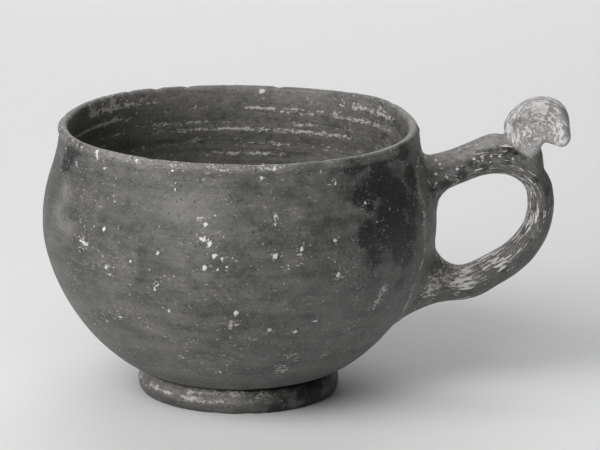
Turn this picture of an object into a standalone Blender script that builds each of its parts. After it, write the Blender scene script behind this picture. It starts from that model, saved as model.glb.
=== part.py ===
"""A small ancient drinking cup: a thrown bowl on a ring foot, with a loop handle and a thumb knob.

Metres, +Z up. The cup stands on z = 0 with the handle towards +X, and the middle of its bounding box is
over the origin. The clay is one solid, because handle and knob were joined on before it was fired.
"""
import bisect
import math

import bmesh
import bpy
from mathutils import Vector

# Bowl, measured over its outside
RIM_DIAMETER = 0.1100
BELLY_DIAMETER = 0.1190
NECK_INSET = 0.0003
BODY_HEIGHT = 0.0826
BELLY_HEIGHT = 0.0517
NECK_DROP = 0.0026
LOWER_FULLNESS = 1.705
LOWER_ROUNDNESS = 0.688
SHOULDER_HOLD = 1.25

# Clay thickness
WALL = 0.0045
LIP_THICKNESS = 0.0029
LIP_TAPER = 0.0130
FLOOR_THICKNESS = 0.0058

# Ring foot
FOOT_DIAMETER = 0.0606
FOOT_HEIGHT = 0.0071
FOOT_ROUNDING = 0.0016
FOOT_RING_WIDTH = 0.0062
FOOT_RECESS = 0.0030
FOOT_GROOVE = 0.0028

# Loop of the handle, along the middle of its rod
LOOP_REACH = 0.0316
LOOP_HEIGHT = 0.0385
LOOP_SINK = 0.0184
ROD_THICKNESS = 0.0080
ROD_WIDTH = 0.0124
UPPER_FILLET = 0.0062
LOWER_FILLET = 0.0084

# Strut along the top of the loop, and the stem under the knob
STRUT_THICKNESS = 0.0072
STRUT_WIDTH = 0.0104
STEM_THICKNESS = 0.0086
STEM_WIDTH = 0.0088

# Thumb knob
KNOB_DIAMETER = 0.0198
KNOB_THICKNESS = 0.0088
KNOB_RISE = 0.0103
KNOB_BORDER = 0.0015
KNOB_DISH = 0.0009

# Sizes that follow
BELLY_RADIUS = BELLY_DIAMETER / 2
NECK_RADIUS = RIM_DIAMETER / 2 - NECK_INSET
NECK_HEIGHT = BODY_HEIGHT - NECK_DROP
GROOVE_RADIUS = FOOT_DIAMETER / 2 - FOOT_GROOVE
LOOP_FOOT = BELLY_HEIGHT - LOOP_SINK
ROOT_DEPTH = WALL / 2

# Free form of the handle: places as (out, up), shares of the loop's reach and height
UPPER_ROOT = 0.834
LOWER_ROOT = 0.044
STRUT_ROOT = 0.938
KNOB_OUT = 0.965
LOOP_SHAPE = ((0.30, 0.950), (0.55, 0.998), (0.78, 0.965), (0.95, 0.845), (1.00, 0.670), (0.955, 0.455),
              (0.80, 0.262), (0.56, 0.118), (0.28, 0.010))
ROD_SWELL = (0.96, 0.95, 0.96, 1.00, 1.02, 1.06, 1.15, 1.22, 1.32)
STRUT_SHAPE = ((0.14, 0.985), (0.32, 1.045), (0.52, 1.118), (0.66, 1.130))
STEM_SHAPE = ((0.925, 0.88), (0.885, 1.01), (0.85, 1.13))

# Outline of the worn knob: degrees round its centre, and the reach there as a share of its radius
KNOB_SHAPE = ((-150, 0.88), (-115, 0.80), (-86, 0.62), (-66, 0.47), (-48, 0.66), (-37, 0.95), (-22, 1.04),
              (8, 0.99), (42, 1.05), (76, 0.98), (106, 0.92), (131, 0.91), (157, 0.96), (184, 1.02))

# Mesh fineness
BODY_SIDES = 64
ROD_SIDES = 14
LOWER_RINGS = 12
SHOULDER_RINGS = 8
INNER_RINGS = 11
LIP_POINTS = 5
LOOP_RINGS = 26
FILLET_TURNS = (0, 22, 42, 64)
MERGE_DISTANCE = 0.00001
SHARP_ANGLE_DEG = 40


def remove_all_objects():
    for old in list(bpy.data.objects):
        bpy.data.objects.remove(old, do_unlink=True)


def clay_material():
    material = bpy.data.materials.new("grey_ware")
    material.use_nodes = True
    shader = material.node_tree.nodes["Principled BSDF"]
    shader.inputs["Base Color"].default_value = (0.145, 0.142, 0.137, 1.0)
    shader.inputs["Roughness"].default_value = 0.62
    shader.inputs["Metallic"].default_value = 0.0
    return material


def outer_radius(z):
    """Radius of the bowl's outside at a height, from the groove over the foot up to the neck."""
    if z < BELLY_HEIGHT:
        drop = (BELLY_HEIGHT - z) / (BELLY_HEIGHT - FOOT_HEIGHT)
        swell = max(0.0, 1 - drop ** LOWER_FULLNESS) ** LOWER_ROUNDNESS
        return GROOVE_RADIUS + (BELLY_RADIUS - GROOVE_RADIUS) * swell
    rise = min(1.0, (z - BELLY_HEIGHT) / (NECK_HEIGHT - BELLY_HEIGHT))
    swell = (1 + math.cos(math.pi * rise ** SHOULDER_HOLD)) / 2
    return NECK_RADIUS + (BELLY_RADIUS - NECK_RADIUS) * swell


def outward(z):
    """Unit normal of the bowl's outside at a height, as its radial and its vertical part."""
    step = 0.0002
    slope = (outer_radius(z + step) - outer_radius(z - step)) / (2 * step)
    size = math.hypot(1.0, slope)
    return 1.0 / size, -slope / size


def spread(low, high, count, ease=1.0):
    """Values from low to high, closer together near low where ease is over 1."""
    return [low + (high - low) * (i / (count - 1)) ** ease for i in range(count)]


def arc(centre, radii, start_deg, end_deg, count):
    """Points along an ellipse's arc, from one angle to another."""
    points = []
    for angle in spread(math.radians(start_deg), math.radians(end_deg), count):
        points.append((centre[0] + radii[0] * math.cos(angle), centre[1] + radii[1] * math.sin(angle)))
    return points


def foot_profile():
    """Underside and side of the ring foot, from the axis outwards and up to the groove."""
    rest_out = FOOT_DIAMETER / 2 - FOOT_ROUNDING
    rest_in = rest_out - FOOT_RING_WIDTH
    widest = FOOT_HEIGHT * 0.52
    under = [(0.0, FOOT_RECESS), (rest_in - FOOT_RECESS, FOOT_RECESS * 0.85)]
    under += [(rest_in - FOOT_RECESS * 0.3, FOOT_RECESS * 0.35), (rest_in, 0.0)]
    side = arc((rest_out, widest), (FOOT_ROUNDING, widest), -90, 70, 6)
    return under + side


def outer_profile():
    """Outside of the bowl, from the groove up to the neck."""
    lower = [(outer_radius(z), z) for z in spread(FOOT_HEIGHT, BELLY_HEIGHT, LOWER_RINGS, 1.6)]
    upper = [(outer_radius(z), z) for z in spread(BELLY_HEIGHT, NECK_HEIGHT, SHOULDER_RINGS)[1:]]
    return lower + upper


def lip_profile():
    """Rounded lip, from its outer edge over the crest to the inside."""
    round_radius = LIP_THICKNESS / 2
    centre = (RIM_DIAMETER / 2 - round_radius, BODY_HEIGHT - round_radius)
    return arc(centre, (round_radius, round_radius), 0, 180, LIP_POINTS)


def inner_profile():
    """Inside of the bowl, from under the lip down to the middle of the floor."""
    points = []
    taper_foot = BODY_HEIGHT - LIP_TAPER
    wall_foot = FOOT_HEIGHT + 2 * WALL
    for z in reversed(spread(wall_foot, NECK_HEIGHT - LIP_THICKNESS / 2, INNER_RINGS, 1.2)):
        thin = min(1.0, max(0.0, (z - taper_foot) / (NECK_HEIGHT - taper_foot)))
        thickness = WALL + (LIP_THICKNESS - WALL) * thin
        radial, vertical = outward(z)
        points.append((outer_radius(z) - radial * thickness, z - vertical * thickness))
    floor = FOOT_RECESS + FLOOR_THICKNESS
    last_radius, last_height = points[-1]
    radial, vertical = outward(wall_foot)
    curl = (-radial / vertical) * last_radius / (last_height - floor)
    for share in (0.86, 0.71, 0.54, 0.30, 0.0):
        points.append((last_radius * share, floor + (last_height - floor) * share ** curl))
    return points


def link_mesh(name, bm):
    bmesh.ops.recalc_face_normals(bm, faces=bm.faces)
    mesh = bpy.data.meshes.new(name)
    bm.to_mesh(mesh)
    bm.free()
    made = bpy.data.objects.new(name, mesh)
    bpy.context.scene.collection.objects.link(made)
    return made


def turned_bowl():
    """Foot, wall and lip, spun round the Z axis."""
    bm = bmesh.new()
    profile = foot_profile() + outer_profile() + lip_profile() + inner_profile()
    verts = [bm.verts.new((radius, 0.0, height)) for radius, height in profile]
    edges = [bm.edges.new(pair) for pair in zip(verts, verts[1:])]
    bmesh.ops.spin(bm, geom=verts + edges, cent=(0, 0, 0), axis=(0, 0, 1), angle=math.tau,
                   steps=BODY_SIDES, use_merge=True)
    bmesh.ops.remove_doubles(bm, verts=bm.verts, dist=MERGE_DISTANCE)
    return link_mesh("cup", bm)


def smooth_path(stations, steps):
    """Catmull-Rom curve through stations of equal length; every station is a tuple of numbers."""
    path = []
    ends = [stations[0]] + list(stations) + [stations[-1]]
    for i in range(1, len(ends) - 2):
        for step in range(steps):
            t = step / steps
            point = []
            for before, here, after, beyond in zip(*ends[i - 1:i + 3]):
                bend = 2 * before - 5 * here + 4 * after - beyond
                twist = 3 * here - before - 3 * after + beyond
                point.append(here + t * ((after - before) + t * (bend + t * twist)) / 2)
            path.append(tuple(point))
    path.append(tuple(stations[-1]))
    return path


def read_path(path, distances):
    """Stations of a path at distances along it."""
    lengths = [0.0]
    for before, after in zip(path, path[1:]):
        lengths.append(lengths[-1] + math.dist(before[:2], after[:2]))
    read = []
    for distance in distances:
        i = min(max(bisect.bisect_right(lengths, distance) - 1, 0), len(path) - 2)
        t = (distance - lengths[i]) / (lengths[i + 1] - lengths[i])
        read.append(tuple(a + (b - a) * t for a, b in zip(path[i], path[i + 1])))
    return read, lengths[-1]


def filleted(path, start_fillet, end_fillet, count):
    """Stations with a round fillet where each end leaves the wall: (x, z, thickness, width, cling)."""
    total = read_path(path, [0.0])[1]
    placed = [(0.0, 2 * start_fillet, 1.0), (total, 2 * end_fillet, -1.0)]
    for angle in FILLET_TURNS:
        turn = math.radians(angle)
        out = 1 - math.cos(turn)
        swell = 1 - math.sin(turn)
        placed.append((ROOT_DEPTH + start_fillet * out, 2 * start_fillet * swell, swell))
        placed.append((total - ROOT_DEPTH - end_fillet * out, 2 * end_fillet * swell, -swell))
    for distance in spread(ROOT_DEPTH + start_fillet, total - ROOT_DEPTH - end_fillet, count):
        placed.append((distance, 0.0, 0.0))
    placed.sort()
    read = read_path(path, [distance for distance, swell, cling in placed])[0]
    stations = []
    for (x, z, thickness, width), (distance, swell, cling) in zip(read, placed):
        stations.append((x, z, thickness + swell, width + swell, cling))
    return stations


def rounded_bar(name, path):
    """Solid with rounded sections in the plane of the handle.

    Each station is (x, z, thickness, width) and may end with its cling: the share by which the section
    bends back to follow the round wall, from 1 at the bar's start to -1 at its end.
    """
    bm = bmesh.new()
    rings = []
    for i, station in enumerate(path):
        before = path[max(0, i - 1)]
        after = path[min(len(path) - 1, i + 1)]
        along = Vector((after[0] - before[0], 0.0, after[1] - before[1])).normalized()
        across = Vector((-along.z, 0.0, along.x))
        centre = Vector((station[0], 0.0, station[1]))
        cling = station[4] if len(station) > 4 else 0.0
        ring = []
        for side in range(ROD_SIDES):
            angle = math.tau * side / ROD_SIDES
            offset = across * (math.cos(angle) * station[2] / 2)
            offset.y = math.sin(angle) * station[3] / 2
            sag = cling * offset.length_squared / BELLY_DIAMETER
            ring.append(bm.verts.new(centre + offset - along * sag))
        rings.append(ring)
    for ring, following in zip(rings, rings[1:]):
        for side in range(ROD_SIDES):
            after = (side + 1) % ROD_SIDES
            bm.faces.new((ring[side], ring[after], following[after], following[side]))
    for end in (0, -1):
        middle = bm.verts.new(Vector((path[end][0], 0.0, path[end][1])))
        for side in range(ROD_SIDES):
            bm.faces.new((rings[end][side], rings[end][(side + 1) % ROD_SIDES], middle))
    return link_mesh(name, bm)


def wall_root(up, depth):
    """Point at a depth under the bowl's outside, at a share of the loop's height."""
    z = LOOP_FOOT + up * LOOP_HEIGHT
    radial, vertical = outward(z)
    return outer_radius(z) - radial * depth, z - vertical * depth


def in_loop(out, up):
    """Place in the plane of the handle, as shares of the loop's reach from the wall and of its height."""
    return BELLY_RADIUS + out * LOOP_REACH, LOOP_FOOT + up * LOOP_HEIGHT


def handle_loop():
    """Rod bent round the finger hole, with its two ends spread on the wall."""
    stations = []
    for depth in (ROOT_DEPTH, -WALL / 3):
        stations.append(wall_root(UPPER_ROOT, depth) + (ROD_THICKNESS, ROD_WIDTH))
    for place, swell in zip(LOOP_SHAPE, ROD_SWELL):
        stations.append(in_loop(*place) + (swell * ROD_THICKNESS, ROD_WIDTH))
    for depth in (-WALL / 2, ROOT_DEPTH):
        stations.append(wall_root(LOWER_ROOT, depth) + (ROD_SWELL[-1] * ROD_THICKNESS, ROD_WIDTH))
    return rounded_bar("loop", filleted(smooth_path(stations, 8), UPPER_FILLET, LOWER_FILLET, LOOP_RINGS))


def knob_centre():
    knob_x, crown = in_loop(KNOB_OUT, 1.0)
    return knob_x, crown + KNOB_RISE


def handle_strut():
    """Bar from the wall, over the shoulder of the loop, into the knob."""
    knob_x, knob_z = knob_centre()
    end = (knob_x - KNOB_DIAMETER * 0.2, knob_z - KNOB_DIAMETER * 0.15)
    stations = [wall_root(STRUT_ROOT, ROOT_DEPTH) + (STRUT_THICKNESS, STRUT_WIDTH)]
    stations += [in_loop(*place) + (STRUT_THICKNESS, STRUT_WIDTH) for place in STRUT_SHAPE]
    stations.append(end + (STRUT_THICKNESS, STEM_WIDTH * 0.9))
    return rounded_bar("strut", smooth_path(stations, 3))


def knob_stem():
    """Short neck from the loop's shoulder up into the knob."""
    knob_x, knob_z = knob_centre()
    end = (knob_x - KNOB_DIAMETER * 0.12, knob_z - KNOB_DIAMETER * 0.05)
    foot, shoulder, top = [in_loop(*place) for place in STEM_SHAPE]
    stations = [foot + (STEM_THICKNESS * 0.8, ROD_WIDTH * 0.85)]
    stations.append(shoulder + (STEM_THICKNESS, ROD_WIDTH * 0.85))
    stations.append(top + (STEM_THICKNESS, STEM_WIDTH))
    stations.append(end + (STEM_THICKNESS, STEM_WIDTH * 0.85))
    return rounded_bar("stem", smooth_path(stations, 3))


def knob_outline():
    """Outline of the knob round its centre, as angles and reaches."""
    points = [(math.radians(angle), reach * KNOB_DIAMETER / 2) for angle, reach in KNOB_SHAPE]
    closing = (points[0][0] + math.tau, points[0][1])
    return smooth_path(points + [closing], 3)[:-1]


def thumb_knob():
    """Flat knob in the plane of the handle, with a raised border and dished sides."""
    bm = bmesh.new()
    knob_x, knob_z = knob_centre()
    half = KNOB_THICKNESS / 2
    contour = ((0.0, 0.0), (KNOB_BORDER * 0.18, half * 0.5), (KNOB_BORDER * 0.7, half * 0.9),
               (KNOB_BORDER * 1.3, half), (KNOB_BORDER * 2.2, half - KNOB_DISH))
    levels = [(inset, -side) for inset, side in reversed(contour[1:])] + list(contour)
    outline = knob_outline()
    rings = []
    for inset, side in levels:
        ring = []
        for angle, reach in outline:
            out = reach - inset
            ring.append(bm.verts.new((knob_x + out * math.cos(angle), side, knob_z + out * math.sin(angle))))
        rings.append(ring)
    for ring, following in zip(rings, rings[1:]):
        for i in range(len(ring)):
            after = (i + 1) % len(ring)
            bm.faces.new((ring[i], ring[after], following[after], following[i]))
    for ring, side in ((rings[0], -1), (rings[-1], 1)):
        middle = bm.verts.new((knob_x, side * (half - KNOB_DISH), knob_z))
        for i in range(len(ring)):
            bm.faces.new((ring[i], ring[(i + 1) % len(ring)], middle))
    return link_mesh("knob", bm)


def fuse(target, added):
    """Union of an added shape into the target; the shape used for it stays out of the part as a guide."""
    union = target.modifiers.new("join " + added.name, 'BOOLEAN')
    union.operation = 'UNION'
    union.solver = 'EXACT'
    union.object = added
    added.hide_render = True
    added.display_type = 'WIRE'


def build():
    remove_all_objects()
    cup = turned_bowl()
    for shape in (handle_loop(), handle_strut(), knob_stem(), thumb_knob()):
        fuse(cup, shape)
    cup.data.materials.append(clay_material())
    cup.data.shade_smooth()
    cup.data.set_sharp_from_angle(angle=math.radians(SHARP_ANGLE_DEG))
    reach = knob_centre()[0] + KNOB_DIAMETER / 2
    axis_x = (BELLY_RADIUS - reach) / 2
    for made in list(bpy.context.scene.objects):
        made.location.x = axis_x
    return cup


build()
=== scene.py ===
"""Looks of a small ancient cup: a wheel-thrown bowl on a ring foot, with a loop handle and a thumb knob.

Metres, +Z up, handle towards +X. One fine mesh stands for the solid and keeps its form. It carries the
throwing lines, the worn lip and foot, the nicks and pits, and the luted handle. Its material is worked out
from noise and from a few values painted on its points.
"""
import bisect
import math
import random

import bmesh
import bpy
import numpy as np
from mathutils import Matrix, Vector, noise
from mathutils.bvhtree import BVHTree


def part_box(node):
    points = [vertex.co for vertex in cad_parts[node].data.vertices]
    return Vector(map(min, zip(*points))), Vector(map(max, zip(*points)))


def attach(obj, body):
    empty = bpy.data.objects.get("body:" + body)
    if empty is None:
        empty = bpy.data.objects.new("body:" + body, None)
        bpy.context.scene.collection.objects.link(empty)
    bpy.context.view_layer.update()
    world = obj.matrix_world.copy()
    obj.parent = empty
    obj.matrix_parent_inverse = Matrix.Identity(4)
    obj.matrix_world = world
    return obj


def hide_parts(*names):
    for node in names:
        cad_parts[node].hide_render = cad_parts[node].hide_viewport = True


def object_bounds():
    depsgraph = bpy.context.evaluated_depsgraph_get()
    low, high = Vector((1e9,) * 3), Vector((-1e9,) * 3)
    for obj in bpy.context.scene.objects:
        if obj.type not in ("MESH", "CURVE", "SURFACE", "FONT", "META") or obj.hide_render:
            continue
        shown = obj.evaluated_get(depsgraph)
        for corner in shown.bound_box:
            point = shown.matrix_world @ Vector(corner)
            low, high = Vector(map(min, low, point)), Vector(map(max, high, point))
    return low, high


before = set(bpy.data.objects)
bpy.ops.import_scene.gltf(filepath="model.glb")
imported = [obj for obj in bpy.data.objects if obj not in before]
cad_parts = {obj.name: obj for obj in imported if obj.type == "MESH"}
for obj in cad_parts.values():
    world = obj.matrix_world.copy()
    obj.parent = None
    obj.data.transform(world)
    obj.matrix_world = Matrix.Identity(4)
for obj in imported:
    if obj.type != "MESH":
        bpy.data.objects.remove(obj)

CAD_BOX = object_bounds()
LOW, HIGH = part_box("cup")

# Bowl, as in the solid
BELLY_RADIUS = (HIGH.y - LOW.y) / 2
AXIS_X = LOW.x + BELLY_RADIUS
RIM_RADIUS = 0.0550
NECK_RADIUS = 0.0547
BODY_HEIGHT = 0.0826
BELLY_HEIGHT = 0.0517
NECK_HEIGHT = 0.0800
LOWER_FULLNESS = 1.705
LOWER_ROUNDNESS = 0.688
SHOULDER_HOLD = 1.25
WALL = 0.0045
LIP_THICKNESS = 0.0029
LIP_TAPER = 0.0130
FLOOR_THICKNESS = 0.0058
FOOT_RADIUS = 0.0303
FOOT_HEIGHT = 0.0071
FOOT_ROUNDING = 0.0016
FOOT_RING_WIDTH = 0.0062
FOOT_RECESS = 0.0030
GROOVE_RADIUS = 0.0275

# Handle, as in the solid
LOOP_REACH = 0.0316
LOOP_HEIGHT = 0.0385
LOOP_FOOT = BELLY_HEIGHT - 0.0184
ROD_THICKNESS = 0.0080
ROD_WIDTH = 0.0124
STRUT_THICKNESS = 0.0072
STRUT_WIDTH = 0.0104
STEM_THICKNESS = 0.0086
STEM_WIDTH = 0.0088
KNOB_DIAMETER = 0.0198
KNOB_THICKNESS = 0.0088
KNOB_RISE = 0.0103
KNOB_BORDER = 0.0015
KNOB_DISH = 0.0009
ROOT_DEPTH = WALL / 2
UPPER_ROOT = 0.834
LOWER_ROOT = 0.044
STRUT_ROOT = 0.938
KNOB_OUT = 0.965
LOOP_SHAPE = ((0.30, 0.950), (0.55, 0.998), (0.78, 0.965), (0.952, 0.846), (1.004, 0.670), (0.957, 0.454),
              (0.80, 0.262), (0.56, 0.118), (0.28, 0.010))
ROD_SWELL = (0.96, 0.95, 0.955, 0.985, 1.00, 1.045, 1.14, 1.22, 1.32)
STRUT_SHAPE = ((0.14, 0.985), (0.32, 1.045), (0.52, 1.114), (0.66, 1.115))
STEM_SHAPE = ((0.925, 0.88), (0.885, 1.01), (0.85, 1.13))
KNOB_SHAPE = ((-150, 0.88), (-115, 0.80), (-86, 0.62), (-66, 0.47), (-48, 0.66), (-37, 0.95), (-22, 1.04),
              (8, 0.99), (42, 1.05), (76, 0.98), (106, 0.92), (131, 0.91), (157, 0.96), (184, 1.02))
# Section of the knob, as (borders inward, share of the half thickness), then as (borders inward, share of the
# dish)
KNOB_ROUNDING = ((0.0, 0.0), (0.06, 0.28), (0.18, 0.5), (0.4, 0.74), (0.7, 0.9), (1.0, 0.98), (1.3, 1.0),
                 (1.6, 0.97))
KNOB_HOLLOW = ((1.9, 0.55), (2.2, 1.0))

# Mesh fineness
COLUMNS = 288
OUTER_ROWS = 118
LIP_ROWS = 9
INNER_ROWS = 84
ROD_SIDES = 48
ROD_RIDGE = 1.25
HANDLE_VOXEL = 0.00052
HANDLE_SMOOTHING = 6

# Camera, from the photo's ellipses of rim and foot
CAMERA_DISTANCE = 1.2
CAMERA_ELEVATION = 14.516
CAMERA_ROLL = 0.549
CAMERA_TARGET = (AXIS_X + 0.018384, 0.0, 0.051022)
PHOTO_WIDTH = 600
PHOTO_HEIGHT = 450
FOCAL_PIXELS = 3957.4
SENSOR_WIDTH = 36.0

MM = 0.001

# Studio: lights as (name, azimuth and elevation in degrees, watts)
LIGHTS = (("key", 225, 35, 18.4), ("back_low", 90, 15, 7.2), ("back_high", 90, 55, 5.9),
          ("front", 270, 55, 4.4))
LIGHT_DISTANCE = 1.4
LIGHT_SIZE = 1.1
WORLD_STRENGTH = 0.04
FLOOR_HALF = 3.0
FLOOR_TONE = 0.80
FLOOR_ROUGHNESS = 0.9
CLIP_NEAR = 0.05
CLIP_FAR = 20.0

# What counts as handle: its distance from the wall where it starts and is full, its half span, and the
# distance that it keeps from the rim; and the slack in telling foot, floor and lip
ROOT_START = 0.35 * MM
ROOT_FULL = 1.4 * MM
HANDLE_HALF_SPAN = 24 * MM
RIM_CLEAR = 6 * MM
FOOT_SLACK = 0.2 * MM
FOOT_MARGIN = 0.5 * MM
FLOOR_SLACK = 0.4 * MM
LIP_EASE = 0.6 * MM

# Grooves inside, as (height, width, depth), and the one under the lip
INNER_GROOVES = ((0.0790, 0.0011, 0.00014), (0.0752, 0.0016, 0.00012), (0.0710, 0.0010, 0.00030),
                 (0.0684, 0.0009, 0.00022), (0.0642, 0.0010, 0.00032), (0.0605, 0.0010, 0.00016),
                 (0.0560, 0.0014, 0.00030), (0.0505, 0.0012, 0.00024), (0.0455, 0.0013, 0.00028),
                 (0.0400, 0.0013, 0.00024), (0.0345, 0.0014, 0.00030), (0.0290, 0.0014, 0.00024),
                 (0.0235, 0.0014, 0.00026), (0.0180, 0.0014, 0.00022))
GROOVE_LIME_WIDTH = 0.7
LIP_GROOVE = 0.0792
LIP_GROOVE_WIDTH = 1.1 * MM
LIP_GROOVE_DEPTH = 0.16 * MM
LIP_GROOVE_DRIFT = 0.4

# Rim, by azimuth in degrees: (azimuth, width in degrees, lift or inset), and nicks as (azimuth, width, depth)
RIM_WANDER = ((37.0, 30.0, 0.00095), (88.0, 30.0, -0.00020), (137.0, 32.0, 0.00060),
              (-20.0, 45.0, -0.00020), (-120.0, 60.0, 0.00015))
WANDER_FOOT = 0.055
RIM_PINCH = ((0.0, 55.0, 0.00075), (180.0, 55.0, 0.00020))
PINCH_FOOT = 0.062
LIP_TUCK = 0.00040
TUCK_SPREAD = 60.0
RIM_NICKS = ((120.0, 0.0022, 0.00055), (109.0, 0.0013, 0.00040), (131.0, 0.0014, 0.00030),
             (78.0, 0.0015, 0.00050), (30.0, 0.0020, 0.00035), (-62.0, 0.0016, 0.00025),
             (-118.0, 0.0018, 0.00030), (170.0, 0.0022, 0.00040), (-12.0, 0.0016, 0.00030))
NICK_REACH = 2.2 * MM

# Foot: its outline's shift at each height, its roughness all round with what one side adds, and its worn
# shoulder
FOOT_SPLAY = ((0.0, 0.00045), (0.0030, 0.00040), (0.0062, -0.00035), (0.0090, 0.0))
SPLAY_RIM = 2.5 * MM
FOOT_ROUGHNESS = (0.26, 0.30)
ROUGH_TOP = 0.6 * MM
ROUGH_INNER = 6 * MM
SHOULDER_RISE = 0.74
SHOULDER_WIDTH = 3.6 * MM

# Handle's roots: the fillet's radius at each height, the part of the cup that it may reach, and the luting
ROOT_FILLETS = ((0.024, 0.0140), (0.030, 0.0125), (0.036, 0.0110), (0.043, 0.0098), (0.050, 0.0080),
                (0.057, 0.0062), (0.065, 0.0055), (0.072, 0.0018))
FILLET_ROUNDS = 5
FILLET_HALF_SPAN = 26 * MM
FILLET_REACH = 45 * MM
FILLET_FOOT = 15 * MM
FILLET_SINK = 1.0 * MM
FILLET_EASE = 2.5
FILLET_SOFTENING = (0.5, 3)
LEAST_SLOPE = 0.35
TOUCHING = 0.02 * MM
LUTING_HALF_WIDTH = 0.0215
LUTING_TOP = 0.0772
LUTING_FOOT = 0.0230
LUTING_THICKNESS = 0.00022
LUTING_ROUNDNESS = 1.08
LUTING_EASE = 1.3 * MM
LUTING_BEAD = 0.22 * MM
BEAD_INSET = 0.6 * MM
BEAD_WIDTH = 1.9 * MM
CREASE_DEPTH = 0.40 * MM
CREASE_WIDTH = 1.3 * MM
CREASE_STATIONS = (34, 100)
CREASE_START = 0.2
CREASE_FULL = 0.38
STROKE_GIRTH = 4 * MM
STROKE_LENGTH = 0.12
KNOB_EDGE = 1.16
KNOB_FULL = 0.96
KNOB_GROOVE = 0.80
KNOB_GROOVE_WIDTH = 0.08
KNOB_GROOVE_DEPTH = 0.20 * MM

# Uneven relief, as (depth, size of the lumps, seed, octaves)
RELIEF = {
    "wheel lines": (0.028 * MM, (0.11, 0.11, 0.0022), 1, 2),
    "swells": (0.16 * MM, 0.030, 2, 2),
    "dents": (0.035 * MM, 0.0075, 3, 2),
    "groove drift": (0.9 * MM, 0.045, 4, 1),
    "lime drift": (0.5 * MM, 0.004, 21, 2),
    "strokes": (0.14 * MM, 0.0016, 5, 2),
    "handle lumps": (0.11 * MM, 0.006, 6, 2),
    "knob lumps": (0.10 * MM, 0.0026, 7, 3),
    "luting wander": (1.6 * MM, 0.009, 8, 2),
    "luting strokes": (0.10 * MM, (0.02, 0.0022, 0.02), 9, 2),
}
FLAT = (1.0, 1.0, 0.0)
LIP_CHIP = 0.14 * MM
PITS = 150
PIT_HEIGHTS = (0.010, 0.079)
PIT_SIZES = (0.7, 1.5)
PIT_DEPTHS = (0.08, 0.20)
PITTED_HANDLE = 0.3

# Uneven shares of the paint and the chips, as (middle, gain, size of the lumps, seed, octaves, least, most)
PATCHES = {
    "groove lime": (0.42, 1.7, (0.02, 0.02, 0.005), 12, 2, 0.0, 1.0),
    "right lime": (0.6, 1.0, (0.02, 0.02, 0.004), 13, 2, 0.0, 1.0),
    "rod lime": (0.02, 0.40, 0.009, 14, 2, 0.0, 0.60),
    "luting lime": (0.50, 0.6, 0.006, 15, 2, 0.0, 0.9),
    "lip wear": (0.75, 0.6, 0.010, 16, 2, 0.0, 1.0),
    "foot wear": (0.9, 1.2, 0.006, 17, 2, 0.0, 1.0),
    "knob lime": (0.62, 0.5, 0.005, 18, 2, 0.30, 1.0),
    "belly lime": (1.0, 2.2, 0.010, 19, 2, 0.0, 2.5),
    "lip lime and highlight": (0.7, 1.5, 0.012, 20, 2, 0.0, 1.5),
    "right stain": (0.22, 0.5, (0.006, 0.006, 0.003), 22, 2, 0.0, 0.5),
    "foot lime": (0.45, 1.4, (0.008, 0.008, 0.002), 23, 2, 0.0, 1.0),
    "foot stain": (0.45, 0.8, 0.0030, 24, 3, 0.0, 0.9),
    "lip chips": (0.1, 1.0, 0.0035, 10, 3, 0.0, None),
    "foot chips": (0.05, 1.0, (0.0040, 0.0040, 0.0022), 11, 3, 0.0, None),
}
# Sides of the cup, as (azimuth, degrees off it where a share is 0, where it is 1)
RIGHT_INSIDE = (0.0, 62.0, 25.0)
NEAR_INSIDE = (0.0, 165.0, 90.0)
# The lip's front left: paler by wear and lime, and by a painted highlight
FRONT_LIP = (-125.0, 70.0, 20.0)
WORN_FOOT = (-25.0, 25.0, 70.0)
# The foot's front right, turned from the key light, gets painted shade
SHADED_FOOT_SIDE = (-35.0, 75.0, 25.0)
ROUGH_FOOT = (-35.0, 90.0, 30.0)
# Shares of each painted layer by place
SPECKS = {"rod": 0.05, "inside": 0.03}
# The lip's share of chalk also paints a highlight along the lip's edge
CHALK = {"halo": 0.9, "grooves": 1.15, "lost at right": 0.60, "right wall": 0.18, "inside": 0.08,
         "under the rod": 0.38, "belly": 0.09, "lip": 0.28}
WEAR = {"inside": 0.20, "near inside": 0.16, "rod": 0.04, "under the rod": 0.16, "bead": 0.45, "smear": 0.18}
# Painted shade: in the groove over the foot, on the foot's front right, under the lip and in the crease under
# the strut
PAINTED_SHADE = {"over the foot": 0.35, "foot": 0.8, "under the lip": 0.28, "crease": 0.35}
# The lip's share all round, with what its front adds; on the lip's lime it is partly a painted highlight
LIP_SIDES = (0.35, 0.65)
UNDERSIDE_EASE = 0.45
STRANDS_START = 5 * MM
STRANDS_FULL = 15 * MM
# Bands that the paint follows, in metres from the part that each is named after
SHOULDER_INNER = 0.5 * MM
SHOULDER_OUTER = 1.0 * MM
# The bands over the foot, at the foot's rim and under the lip hold painted shade
OVER_FOOT = (0.3 * MM, 1.2 * MM, 3 * MM)
SHADED_FOOT_RIM = (5 * MM, 2 * MM)
UNDER_LIP = (0.2 * MM, 0.9 * MM)
WIDE_MARK = 0.0028
HALO_ROUNDS = 3
LOOSE_SPECKS = 170
LOOSE_HEIGHTS = (0.009, 0.078)
LOOSE_SHARES = (0.45, 0.95)
LOOSE_SIZES = (1.1, 2.6)
FRONT_LOW = -172.0
FRONT_HIGH = -12.0

# Tones as (level, warmth)
WARE_DARK = (0.050, 0.012)
WARE_LIGHT = (0.155, 0.018)
KNOB_CLAY = (0.34, 0.02)
WORN = (0.27, 0.02)
# The darkest tone, for stains and for painted shade
STAIN_AND_SHADE_TONE = (0.011, 0.01)
PITTED = (0.018, 0.0)
LIME_DARK = (0.546, 0.02)
LIME_LIGHT = (0.858, 0.02)

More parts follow.
